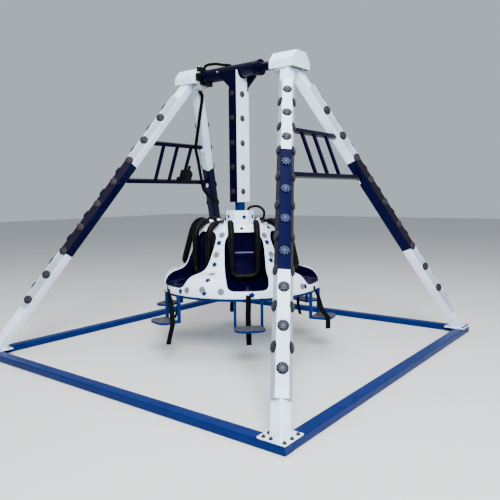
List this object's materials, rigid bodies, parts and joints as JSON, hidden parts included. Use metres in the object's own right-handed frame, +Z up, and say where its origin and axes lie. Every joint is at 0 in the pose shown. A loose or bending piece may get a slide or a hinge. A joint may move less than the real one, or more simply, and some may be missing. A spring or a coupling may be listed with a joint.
{
  "type": "pendulum ride",
  "caption": "Children's fairground pendulum: leaning A-frames on a square base carry a swinging arm with a round spinning gondola of outward seats with lift-up bars.",
  "frame": {"origin": "on the ground, under the middle of the square base frame", "axes": "+Z up, +X along the cross tube to the right-hand A-frame, +Y away from the front beam; the arm swings about X"},
  "size_m": [3.53, 3.666, 2.884],
  "materials": {
    "white_paint": "semi-gloss white enamel with navy bands, worn",
    "blue_frame": "blue enamel, scuffed",
    "navy_paint": "semi-gloss navy enamel",
    "grey_steel": "grey enamel",
    "white_gelcoat": "glossy white glass-fibre gelcoat",
    "navy_gloss": "glossy navy gelcoat",
    "black_rubber": "black rubber and plastic",
    "black_padding": "black foam tube over steel",
    "black_webbing": "woven belt"
  },
  "bodies": {
    "base": {"base_beam_front": "blue_frame", "base_beam_rear": "blue_frame", "base_beam_right": "blue_frame", "base_beam_left": "blue_frame", "leg_front_right": "white_paint", "leg_rear_right": "white_paint", "leg_front_left": "white_paint", "leg_rear_left": "white_paint", "leg_cover_front_right": "white_paint", "leg_cover_rear_right": "white_paint", "leg_cover_front_left": "white_paint", "leg_cover_rear_left": "white_paint", "brace_right": "navy_paint", "brace_left": "navy_paint", "head_right": "grey_steel", "head_left": "grey_steel", "shroud_right": "white_paint", "shroud_left": "white_paint", "power_cable": "black_rubber", "brace_lamp": "black_rubber"},
    "arm": {"cross_tube": "navy_paint", "shaft_clamp_ring": "black_rubber", "arm_beam": "navy_paint", "arm_cover_right": "white_paint", "arm_cover_left": "white_paint", "arm_neck": "blue_frame", "hub_conduit": "black_rubber"},
    "gondola": {"gondola_shell": "white_gelcoat", "crown": "white_paint", "gondola_hoop": "blue_frame", "crown_conduit": "black_rubber", "seat_1": "navy_gloss", "seat_2": "navy_gloss", "seat_3": "navy_gloss", "seat_4": "navy_gloss", "seat_5": "navy_gloss", "seat_6": "navy_gloss", "footrest_1": "blue_frame", "footrest_2": "blue_frame", "footrest_3": "blue_frame", "footrest_4": "blue_frame", "footrest_5": "blue_frame", "footrest_6": "blue_frame", "belt_1": "black_webbing", "belt_2": "black_webbing", "belt_3": "black_webbing", "belt_4": "black_webbing", "belt_5": "black_webbing", "belt_6": "black_webbing"},
    "restraint_1": {"restraint_1": "black_padding"},
    "restraint_2": {"restraint_2": "black_padding"},
    "restraint_3": {"restraint_3": "black_padding"},
    "restraint_4": {"restraint_4": "black_padding"},
    "restraint_5": {"restraint_5": "black_padding"},
    "restraint_6": {"restraint_6": "black_padding"}
  },
  "joints": [
    {"name": "arm_swing", "type": "hinge", "parent": "base", "child": "arm", "pos_m": [0, 0, 2.75], "axis": [1, 0, 0], "range_deg": [-45, 45]},
    {"name": "gondola_spin", "type": "hinge", "parent": "arm", "child": "gondola", "pos_m": [0, 0, 1.376], "axis": [0, 0, 1], "continuous": true},
    {"name": "restraint_1_lift", "type": "hinge", "parent": "gondola", "child": "restraint_1", "pos_m": [0.2046, -0.21941, 1.277], "axis": [-0.7314, -0.682, 0], "range_deg": [0, 90]},
    {"name": "restraint_2_lift", "type": "hinge", "parent": "gondola", "child": "restraint_2", "pos_m": [0.29231, 0.06749, 1.277], "axis": [0.225, -0.9744, 0], "range_deg": [-12.5, 77.5]},
    {"name": "restraint_3_lift", "type": "hinge", "parent": "gondola", "child": "restraint_3", "pos_m": [0.08771, 0.28689, 1.277], "axis": [0.9563, -0.2924, 0], "range_deg": [0, 90]},
    {"name": "restraint_4_lift", "type": "hinge", "parent": "gondola", "child": "restraint_4", "pos_m": [-0.2046, 0.21941, 1.277], "axis": [0.7314, 0.682, 0], "range_deg": [0, 90]},
    {"name": "restraint_5_lift", "type": "hinge", "parent": "gondola", "child": "restraint_5", "pos_m": [-0.29231, -0.06749, 1.277], "axis": [-0.225, 0.9744, 0], "range_deg": [-17, 73]},
    {"name": "restraint_6_lift", "type": "hinge", "parent": "gondola", "child": "restraint_6", "pos_m": [-0.08771, -0.28689, 1.277], "axis": [-0.9563, 0.2924, 0], "range_deg": [0, 90]}
  ]
}
